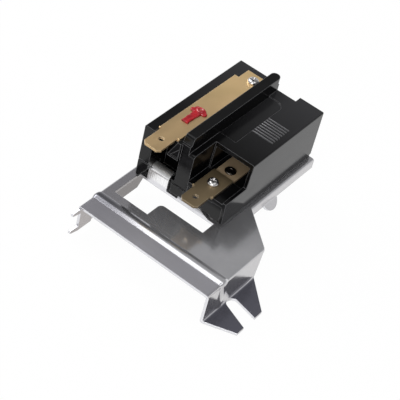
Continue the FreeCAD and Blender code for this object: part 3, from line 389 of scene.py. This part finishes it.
# painted light: a lighter, less metallic copy so that the plate in the shaded cavity shows lit
lit_channel_brass = make_brass("lit_channel_brass", (0.62, 0.46, 0.29), (0.50, 0.37, 0.23), 0.40,
                           (0.80, 0.68, 0.50), metal=0.4, front_dark_share=1.0)
turned_brass = make_brass("turned_brass", (0.76, 0.57, 0.28), (0.66, 0.47, 0.22), 0.22,
                          (0.95, 0.85, 0.6))
dress(strip_brass, "top_terminal")
dress(shaded_tongue_brass, "lower_terminal")
dress(lit_channel_brass, "contact_plate")
dress(turned_brass, "terminal_post", "post_nut", "terminal_insert", "blade_root", "arm_root",
      "calibration_screw")
print("brass:", [finish.name for finish in (strip_brass, shaded_tongue_brass, lit_channel_brass, turned_brass)])

# %% [markdown]
# ## Steel, silver and bimetal
# The screws are zinc-plated and bright, the rivets are blackened, the contacts are silver, and the
# leaves are rolled bimetal with faint straw-coloured heat tints. The same function gives the grip ribs a
# grey metal finish as a painted highlight, so that they show as bright lines, and every edge gets a
# painted highlight.

# %% Steel
def make_steel(name, light, dark, rough_low, rough_high, tint=None):
    finish, tree, surface = new_finish(name)
    patches = cloud(tree, object_place(tree), 600.0, 3.0)
    edge, rounded = painted_edge_highlight(tree, 0.00012, 0.7)
    tone = blend_colour(tree, patches, light, dark)
    if tint:
        stain = remap(tree, cloud(tree, object_place(tree), 120.0), 0.45, 0.7, 0.0, 0.6)
        tone = blend_colour(tree, stain, tone, tint)
    # painted highlight on the edges
    tone = blend_colour(tree, edge, tone, tuple(min(1.0, c * 1.25 + 0.05) for c in light))
    tree.links.new(tone, surface.inputs["Base Color"])
    surface.inputs["Metallic"].default_value = 1.0
    tree.links.new(remap(tree, patches, 0.3, 0.7, rough_low, rough_high), surface.inputs["Roughness"])
    tree.links.new(rounded, surface.inputs["Normal"])
    return finish


zinc = make_steel("zinc_plate", (0.66, 0.65, 0.65), (0.50, 0.49, 0.49), 0.18, 0.30)
black_oxide = make_steel("black_oxide", (0.13, 0.115, 0.10), (0.07, 0.06, 0.055), 0.22, 0.36)
rib_painted_highlight = make_steel("rib_painted_sheen", (0.20, 0.20, 0.21), (0.13, 0.13, 0.135), 0.3, 0.42)
silver = make_steel("contact_silver", (0.86, 0.85, 0.82), (0.76, 0.75, 0.72), 0.18, 0.3)
bimetal = make_steel("bimetal", (0.56, 0.54, 0.51), (0.48, 0.46, 0.43), 0.24, 0.36, (0.5, 0.40, 0.26))
dress(zinc, "top_terminal_screw", "lower_terminal_screw")
dress(black_oxide, "hollow_rivet", "blade_root_rivet")
dress(silver, "moving_contact", "fixed_contact")
dress(bimetal, "sensing_blade", "compensating_arm")
print("steel and silver:", [finish.name for finish in (zinc, black_oxide, rib_painted_highlight, silver, bimetal)])

# %% [markdown]
# ## Red lacquer
# After the switch is calibrated, a drop of lacquer is brushed over the screw so that nobody turns it.
# It dries as a thin pool: a brush stroke for a stem, a lobed head, and a dimple over the screw slot.
# A height field gives that: a distance to the outline is turned into a rounded thickness.

# %% Lacquer seal
SEAL_CELL = 0.09 * MM
SEAL_THICK = 0.50 * MM
SEAL_CELLS = (74, 124)    # cells across and along
SEAL_AXIS = (37, 88)      # the cell on the screw's axis


def lacquer_reach(x, y):
    """How far a point lies inside the lacquer's outline, in millimetres from the screw's axis."""
    stem = min(1.22 + 0.04 * math.sin(y * 2.3) - abs(x + 0.05), y + 7.9, 0.6 - y)
    neck = min(1.25 + 0.10 * (y + 3.4) - abs(x), y + 3.9, 0.6 - y)
    head = 1.0 - math.hypot(x / 2.25, (y - 0.1) / 1.6)
    left = 0.95 - math.hypot(x + 1.9, y + 0.95)
    right = 1.05 - math.hypot(x - 1.9, y + 0.45)
    return max(stem, neck, head * 1.6, left, right)


def make_lacquer():
    low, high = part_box("calibration_screw")
    axis_x, axis_y = (low.x + high.x) / 2, (low.y + high.y) / 2
    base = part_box("lacquer_seal")[0].z
    mesh = bmesh.new()
    tops, floors, inside = {}, {}, set()
    for i in range(SEAL_CELLS[0]):
        for j in range(SEAL_CELLS[1]):
            x = (i - SEAL_AXIS[0]) * SEAL_CELL / MM
            y = (j - SEAL_AXIS[1]) * SEAL_CELL / MM
            reach = lacquer_reach(x, y)
            if reach < 0:
                continue
            dome = min(1.0, reach / 0.45)
            height = SEAL_THICK * (0.25 + 0.75 * math.sqrt(dome * (2.0 - dome)))
            ripple = noise.noise(Vector((x * 0.9, y * 0.9, 3.1)))
            dimple = math.exp(-((x - 0.1) ** 2 + (y - 0.2) ** 2) / 0.30)
            rim = math.exp(-((math.hypot(x - 0.1, y - 0.2) - 0.95) ** 2) / 0.09)
            height *= 1.0 + 0.25 * ripple + 0.45 * rim - 0.25 * dimple
            point = (axis_x + x * MM, axis_y + y * MM)
            tops[i, j] = mesh.verts.new(point + (base + height,))
            floors[i, j] = mesh.verts.new(point + (base,))
    for (i, j) in tops:
        ring = [(i, j), (i + 1, j), (i + 1, j + 1), (i, j + 1)]
        if all(key in tops for key in ring):
            inside.add((i, j))
            mesh.faces.new([tops[key] for key in ring])
            mesh.faces.new([floors[key] for key in reversed(ring)])
    for (i, j) in inside:
        sides = {(0, -1): ((i, j), (i + 1, j)), (1, 0): ((i + 1, j), (i + 1, j + 1)),
                 (0, 1): ((i + 1, j + 1), (i, j + 1)), (-1, 0): ((i, j + 1), (i, j))}
        for (di, dj), (a, b) in sides.items():
            if (i + di, j + dj) not in inside:
                mesh.faces.new([tops[b], tops[a], floors[a], floors[b]])
    bmesh.ops.delete(mesh, geom=[v for v in mesh.verts if not v.link_faces], context="VERTS")
    upper = [v for v in mesh.verts if v.co.z > base + 1e-6]
    bmesh.ops.smooth_vert(mesh, verts=upper, factor=0.5, use_axis_x=True, use_axis_y=True, use_axis_z=True)
    bmesh.ops.recalc_face_normals(mesh, faces=mesh.faces)
    data = bpy.data.meshes.new("lacquer_pool")
    mesh.to_mesh(data)
    mesh.free()
    data.shade_smooth()
    piece = bpy.data.objects.new("lacquer_pool", data)
    bpy.context.scene.collection.objects.link(piece)
    print("lacquer faces:", len(data.polygons))
    return piece


def make_lacquer_finish():
    finish, tree, surface = new_finish("red_lacquer")
    streaks = cloud(tree, object_place(tree, (1, 0.4, 1)), 700.0, 3.0)
    tone = blend_colour(tree, remap(tree, streaks, 0.35, 0.65, 0.0, 1.0),
                        (0.44, 0.007, 0.015), (0.28, 0.003, 0.010))
    tree.links.new(tone, surface.inputs["Base Color"])
    surface.inputs["Roughness"].default_value = 0.24
    surface.inputs["Coat Weight"].default_value = 0.2
    surface.inputs["Coat Roughness"].default_value = 0.06
    bump = add(tree, "ShaderNodeBump", {"Strength": 0.25, "Distance": 0.00008}, {"Height": streaks})
    tree.links.new(bump.outputs["Normal"], surface.inputs["Normal"])
    return finish


lacquer = make_lacquer()
dress(make_lacquer_finish(), lacquer)
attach(lacquer, "switch_frame")
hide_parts("lacquer_seal")

# %% [markdown]
# ## Turned pieces with Geometry Nodes
# A screw head, an eyelet and a moulded grip rib are all turned shapes: a profile carried round an
# axis. One small node group does it. A grid is bent into a tube: one side of the grid becomes the
# angle, the other walks along the profile, and two curve nodes give the radius and the height there.
# Merging by distance closes the seam and the poles.

# %% Turned profile group
def new_group(name, sizes=()):
    """An empty geometry group with named size inputs; gives the group, its input and output nodes."""
    group = bpy.data.node_groups.new(name, "GeometryNodeTree")
    group.interface.new_socket("Geometry", in_out="INPUT", socket_type="NodeSocketGeometry")
    for label, value in sizes:
        kind = "NodeSocketInt" if isinstance(value, int) else "NodeSocketFloat"
        socket = group.interface.new_socket(label, in_out="INPUT", socket_type=kind)
        socket.default_value = value
    group.interface.new_socket("Geometry", in_out="OUTPUT", socket_type="NodeSocketGeometry")
    return group, group.nodes.new("NodeGroupInput"), group.nodes.new("NodeGroupOutput")


def walk(tree, along, values):
    """A curve node through evenly spaced values from 0 to 1."""
    node = add(tree, "ShaderNodeFloatCurve", links={"Value": along})
    curve = node.mapping.curves[0]
    last = len(values) - 1
    for spot, value in zip((curve.points[0], curve.points[1]), (values[0], values[-1])):
        spot.location = (0.0 if spot == curve.points[0] else 1.0, value)
    for i in range(1, last):
        curve.points.new(i / last, values[i])
    for spot in curve.points:
        spot.handle_type = "VECTOR"
    node.mapping.update()
    return node.outputs["Value"]


def turned(tree, profile, radius, height, around=48):
    """Nodes that turn a profile of (radius share, height share) pairs about Z; gives the geometry."""
    grid = add(tree, "GeometryNodeMeshGrid", {"Size X": 1.0, "Size Y": 1.0, "Vertices X": around + 1,
                                              "Vertices Y": len(profile)})
    position = add(tree, "GeometryNodeInputPosition").outputs[0]
    at = add(tree, "ShaderNodeSeparateXYZ", links={"Vector": position})
    angle = remap(tree, at.outputs["X"], -0.5, 0.5, 0.0, 2 * math.pi)
    along = remap(tree, at.outputs["Y"], -0.5, 0.5, 0.0, 1.0)
    out = walk(tree, along, [pair[0] for pair in profile])
    up = walk(tree, along, [pair[1] for pair in profile])

    reach = times(tree, out, radius)
    cosine = add(tree, "ShaderNodeMath", operation="COSINE", links={0: angle}).outputs[0]
    sine = add(tree, "ShaderNodeMath", operation="SINE", links={0: angle}).outputs[0]
    spot = add(tree, "ShaderNodeCombineXYZ", links={
        "X": times(tree, reach, cosine), "Y": times(tree, reach, sine), "Z": times(tree, up, height)})
    bent = add(tree, "GeometryNodeSetPosition",
               links={"Geometry": grid.outputs["Mesh"], "Position": spot.outputs[0]})
    return add(tree, "GeometryNodeMergeByDistance", {"Distance": 1e-6},
               {"Geometry": bent.outputs[0]}).outputs["Geometry"]


def finish_group(tree, result, shape, finish):
    """Realize the instances, give them their material, and send them out."""
    real = add(tree, "GeometryNodeRealizeInstances", links={"Geometry": shape})
    coated = add(tree, "GeometryNodeSetMaterial", {"Material": finish}, {"Geometry": real.outputs[0]})
    tree.links.new(coated.outputs[0], result.inputs[0])


def grow(name, group, points, sizes):
    """Run a group on a few points and keep the result as a plain mesh."""
    seed = bpy.data.meshes.new(name + "_points")
    seed.from_pydata(points, [], [])
    host = bpy.data.objects.new(name + "_host", seed)
    bpy.context.scene.collection.objects.link(host)
    modifier = host.modifiers.new(name, "NODES")
    modifier.node_group = group
    for item in group.interface.items_tree:
        if item.in_out == "INPUT" and item.name in sizes:
            modifier[item.identifier] = sizes[item.name]
    ready = host.evaluated_get(bpy.context.evaluated_depsgraph_get())
    mesh = bpy.data.meshes.new_from_object(ready)
    host.modifiers.clear()
    bpy.data.objects.remove(host)
    shell = bmesh.new()
    shell.from_mesh(mesh)
    bmesh.ops.remove_doubles(shell, verts=shell.verts, dist=1e-7)
    bmesh.ops.recalc_face_normals(shell, faces=shell.faces)
    shell.to_mesh(mesh)
    shell.free()
    coat = [finish for finish in mesh.materials if finish][-1]
    mesh.materials.clear()
    mesh.materials.append(coat)
    mesh.polygons.foreach_set("material_index", [0] * len(mesh.polygons))
    mesh.name = name
    mesh.shade_smooth()
    mesh.set_sharp_from_angle(angle=math.radians(38))
    piece = bpy.data.objects.new(name, mesh)
    bpy.context.scene.collection.objects.link(piece)
    print(name, "faces:", len(mesh.polygons), "material:", coat.name)
    return piece


# %% [markdown]
# ## Terminal screws
# Two pan-head screws hold the terminals. The head has a flat seat, a rounded rim and a low crown, and
# a cross recess that is cut with a boolean from two crossed bars. One head is made and instanced on
# the two seats; their places are read from the boxes of the solid screws that they stand for.

# %% Screws
HEAD_PROFILE = [(0.0, -0.6), (0.52, -0.6), (0.52, 0.0), (0.98, 0.0), (1.0, 0.10), (1.0, 0.30),
                (0.985, 0.42), (0.94, 0.58), (0.86, 0.74), (0.74, 0.87), (0.58, 0.95), (0.40, 0.985),
                (0.2, 1.0), (0.0, 1.0)]
HEAD_RADIUS, HEAD_HEIGHT, RECESS_WIDTH = 0.0019, 0.00125, 0.0005
RECESS_SPAN = 1.16       # the cross's length as a share of the head's radius
RECESS_BAR = 0.0011      # half of it stands above the head, so the cut is half as deep
HEAD_TURN = math.radians(24)


def make_screw_group():
    group, given, result = new_group("pan_head_screws", (
        ("Head radius", HEAD_RADIUS), ("Head height", HEAD_HEIGHT), ("Recess width", RECESS_WIDTH)))
    head = turned(group, HEAD_PROFILE, given.outputs["Head radius"], given.outputs["Head height"], 64)
    for long_x in (True, False):
        width = given.outputs["Recess width"]
        length = add(group, "ShaderNodeMath", {1: RECESS_SPAN}, {0: given.outputs["Head radius"]},
                     operation="MULTIPLY").outputs[0]
        size = add(group, "ShaderNodeCombineXYZ", {"Z": RECESS_BAR},
                   {"X": length if long_x else width, "Y": width if long_x else length})
        bar = add(group, "GeometryNodeMeshCube", links={"Size": size.outputs[0]})
        lift = add(group, "ShaderNodeCombineXYZ", links={"Z": given.outputs["Head height"]})
        bar = add(group, "GeometryNodeTransform",
                  links={"Geometry": bar.outputs[0], "Translation": lift.outputs[0]})
        head_cut = add(group, "GeometryNodeMeshBoolean", operation="DIFFERENCE")
        group.links.new(head, head_cut.inputs["Mesh 1"])
        group.links.new(bar.outputs[0], head_cut.inputs["Mesh 2"])
        head = head_cut.outputs["Mesh"]
    points = add(group, "GeometryNodeMeshToPoints", links={"Mesh": given.outputs["Geometry"]})
    placed = add(group, "GeometryNodeInstanceOnPoints", {"Rotation": (0.0, 0.0, HEAD_TURN)},
                 {"Points": points.outputs[0], "Instance": head})
    finish_group(group, result, placed.outputs[0], zinc)
    return group


def seat(name, high=True):
    """Middle of a node's box, at its top or its bottom."""
    low_corner, high_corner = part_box(name)
    middle = (low_corner + high_corner) / 2
    return (middle.x, middle.y, high_corner.z if high else low_corner.z)


seats = [seat("top_terminal_screw"), seat("lower_terminal_screw")]
seats = [(x, y, z - HEAD_HEIGHT) for x, y, z in seats]
screws = grow("pan_head_screws", make_screw_group(), seats, {"Head height": HEAD_HEIGHT})
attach(screws, "switch_frame")
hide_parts("top_terminal_screw", "lower_terminal_screw")
print("screw seats:", seats)

# %% [markdown]
# ## Hollow rivets
# The rear rivets are tubular: their ends are rolled over, which leaves a rounded collar round an open
# bore. The same turning group takes a closed profile that goes up the outside and down the bore.

# %% Rivets
RIVET_NODES = ("hollow_rivet", "blade_root_rivet")
RIVET_REACH = [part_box(name)[1].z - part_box(name)[0].z for name in RIVET_NODES]
COLLAR = [(0.40, 0.0), (0.40, 0.5), (0.40, 0.93), (0.46, 0.975), (0.56, 0.995), (0.68, 1.0), (0.82, 0.985),
          (0.93, 0.955), (0.99, 0.91), (1.0, 0.87), (0.97, 0.83), (0.66, 0.83), (0.66, 0.5), (0.66, 0.17),
          (0.97, 0.17), (1.0, 0.13), (0.99, 0.09), (0.93, 0.045), (0.82, 0.015), (0.68, 0.0), (0.40, 0.0)]


def make_rivet_group():
    group, given, result = new_group("rolled_rivets", (("Collar radius", 0.0019), ("Length", 0.005)))
    collar = turned(group, COLLAR, given.outputs["Collar radius"], given.outputs["Length"], 56)
    points = add(group, "GeometryNodeMeshToPoints", links={"Mesh": given.outputs["Geometry"]})
    placed = add(group, "GeometryNodeInstanceOnPoints",
                 links={"Points": points.outputs[0], "Instance": collar})
    finish_group(group, result, placed.outputs[0], black_oxide)
    return group


rivet_seats = [seat(name, False) for name in RIVET_NODES]
rivets = grow("rolled_rivets", make_rivet_group(), rivet_seats, {"Length": RIVET_REACH[0]})
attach(rivets, "switch_frame")
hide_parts("hollow_rivet", "blade_root_rivet")
print("rivet lengths:", RIVET_REACH)

# %% [markdown]
# ## Grip ribs
# Eight fine ribs are moulded on the roof for a fingernail. Each is a long rounded bar. The bar is the
# same turned shape lying on its side, and a row of points carries its copies. The row starts at a
# place measured from three faces of the housing's box.

# %% Ribs
RIB_COUNT, RIB_PITCH, RIB_LONG = 8, 1.25 * MM, 7.9 * MM
CAPSULE = [(0.0, 0.0), (0.5, 0.004), (0.87, 0.015), (1.0, 0.03), (1.0, 0.5), (1.0, 0.97), (0.87, 0.985),
           (0.5, 0.996), (0.0, 1.0)]


def make_rib_group():
    group, given, result = new_group("grip_ribs", (("Rib radius", 0.00024), ("Rib length", RIB_LONG),
                                                   ("Pitch", RIB_PITCH), ("Count", RIB_COUNT)))
    bar = turned(group, CAPSULE, given.outputs["Rib radius"], given.outputs["Rib length"], 20)
    bar = add(group, "GeometryNodeTransform", {"Rotation": (0.0, math.pi / 2, 0.0)}, {"Geometry": bar})
    bar = bar.outputs[0]
    step = add(group, "ShaderNodeCombineXYZ", links={"Y": given.outputs["Pitch"]})
    row = add(group, "GeometryNodeMeshLine",
              links={"Count": given.outputs["Count"], "Offset": step.outputs[0]})
    placed = add(group, "GeometryNodeInstanceOnPoints", links={"Points": row.outputs[0], "Instance": bar})
    start = add(group, "GeometryNodeMeshToPoints", links={"Mesh": given.outputs["Geometry"]})
    rows = add(group, "GeometryNodeInstanceOnPoints",
               links={"Points": start.outputs[0], "Instance": placed.outputs[0]})
    # the moulded ribs get the grey metal finish as a painted highlight
    finish_group(group, result, rows.outputs[0], rib_painted_highlight)
    return group


FROM_RIGHT, FROM_FRONT, BELOW_TOP = 10.24 * MM, 26.32 * MM, 4.98 * MM
front_corner, rear_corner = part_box("housing")
RIB_START = (rear_corner.x - FROM_RIGHT, front_corner.y + FROM_FRONT, rear_corner.z - BELOW_TOP)
ribs = grow("grip_ribs", make_rib_group(), [RIB_START], {"Count": RIB_COUNT})
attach(ribs, "switch_frame")
print("ribs start at:", [round(c / MM, 2) for c in RIB_START])

# %% [markdown]
# ## Floor
# A pale, matte floor just under the part. It glows for the camera and in mirrors, so that it shows
# as plain white and keeps only a trace of the shadow.

# %% Floor
FLOOR_HALF = 1.5
FLOOR_GAP = 0.0004
FLOOR_GLOW = 0.975


def make_floor():
    half = FLOOR_HALF
    corners = [(-half, -half, 0), (half, -half, 0), (half, half, 0), (-half, half, 0)]
    data = bpy.data.meshes.new("floor")
    data.from_pydata(corners, [], [(0, 1, 2, 3)])
    floor = bpy.data.objects.new("floor", data)
    floor.location.z = cad_bounds[0][2] - FLOOR_GAP
    bpy.context.scene.collection.objects.link(floor)
    finish = bpy.data.materials.new("pale_floor")
    finish.use_nodes = True
    tree = finish.node_tree
    tree.nodes.clear()
    matte = add(tree, "ShaderNodeBsdfDiffuse", {"Color": (0.82, 0.82, 0.82, 1)})
    glow = add(tree, "ShaderNodeEmission", {"Color": (1, 1, 1, 1), "Strength": 1.0})
    rays = add(tree, "ShaderNodeLightPath")
    seen = add(tree, "ShaderNodeMath", operation="MAXIMUM",
               links={0: rays.outputs["Is Camera Ray"], 1: rays.outputs["Is Glossy Ray"]})
    share = add(tree, "ShaderNodeMath", {1: FLOOR_GLOW}, {0: seen.outputs[0]}, operation="MULTIPLY")
    mix = add(tree, "ShaderNodeMixShader",
              links={0: share.outputs[0], 1: matte.outputs[0], 2: glow.outputs[0]})
    add(tree, "ShaderNodeOutputMaterial", links={"Surface": mix.outputs[0]})
    data.materials.append(finish)


make_floor()
print("floor glow:", FLOOR_GLOW)

# %% [markdown]
# ## World
# The camera sees white, but the metal sees a room: bright near the horizon, darker higher up, and one
# bright panel high overhead and in front. The panel is what draws the white line along the bead.

# %% World
HORIZON, UPPER_WALL, TOP_PANEL = 0.80, 0.26, 1.3
WALL_FADE = (0.10, 0.55)       # in Z, from the horizon's level to the upper wall's
PANEL_LOW = (0.80, 0.88)       # in Z, where the panel fades in
PANEL_HIGH = (0.955, 0.985)    # in Z, where it fades out below the zenith
PANEL_REAR = (0.42, 0.30)      # in Y, where it fades in towards the front


def make_world():
    world = bpy.data.worlds.new("studio")
    bpy.context.scene.world = world
    world.use_nodes = True
    tree = world.node_tree
    tree.nodes.clear()
    place = add(tree, "ShaderNodeTexCoord")
    sky = add(tree, "ShaderNodeSeparateXYZ", links={"Vector": place.outputs["Generated"]}).outputs
    wall = remap(tree, sky["Z"], *WALL_FADE, HORIZON, UPPER_WALL)
    panel = times(tree, remap(tree, sky["Z"], *PANEL_LOW, 0.0, 1.0),
                  remap(tree, sky["Y"], *PANEL_REAR, 0.0, 1.0))
    panel = times(tree, panel, remap(tree, sky["Z"], *PANEL_HIGH, 1.0, 0.0))
    panel = add(tree, "ShaderNodeMath", {1: TOP_PANEL}, {0: panel}, operation="MULTIPLY").outputs[0]
    level = plus(tree, wall, panel)
    surround = add(tree, "ShaderNodeCombineColor", links={"Red": level, "Green": level, "Blue": level})
    rays = add(tree, "ShaderNodeLightPath")
    plain = add(tree, "ShaderNodeBackground", {"Strength": 1.0}, {"Color": surround.outputs[0]})
    white = add(tree, "ShaderNodeBackground", {"Color": (1, 1, 1, 1), "Strength": 1.0})
    mix = add(tree, "ShaderNodeMixShader",
              links={0: rays.outputs["Is Camera Ray"], 1: plain.outputs[0], 2: white.outputs[0]})
    add(tree, "ShaderNodeOutputWorld", links={"Surface": mix.outputs[0]})


make_world()
print("world levels:", HORIZON, UPPER_WALL, TOP_PANEL)

# %% [markdown]
# ## Lamps
# Two large, soft area lamps: one from the left and one from the front. Large lamps give soft shadows.

# %% Lamps
def add_lamp(name, at, aim, size, watts):
    data = bpy.data.lights.new(name, "AREA")
    data.shape = "RECTANGLE"
    data.size, data.size_y = size
    data.energy = watts
    lamp = bpy.data.objects.new(name, data)
    lamp.location = at
    lamp.rotation_euler = (Vector(aim) - Vector(at)).to_track_quat("-Z", "Y").to_euler()
    bpy.context.scene.collection.objects.link(lamp)
    print(name, "watts:", watts)


MIDDLE = (-0.02, 0.02, 0.01)
add_lamp("soft_left", (-0.9, 0.1, 0.9), MIDDLE, (0.7, 0.7), 9.0)
add_lamp("soft_front", (0.3, -1.1, 0.8), MIDDLE, (0.8, 0.6), 7.0)

bpy.context.scene.view_settings.view_transform = "Standard"
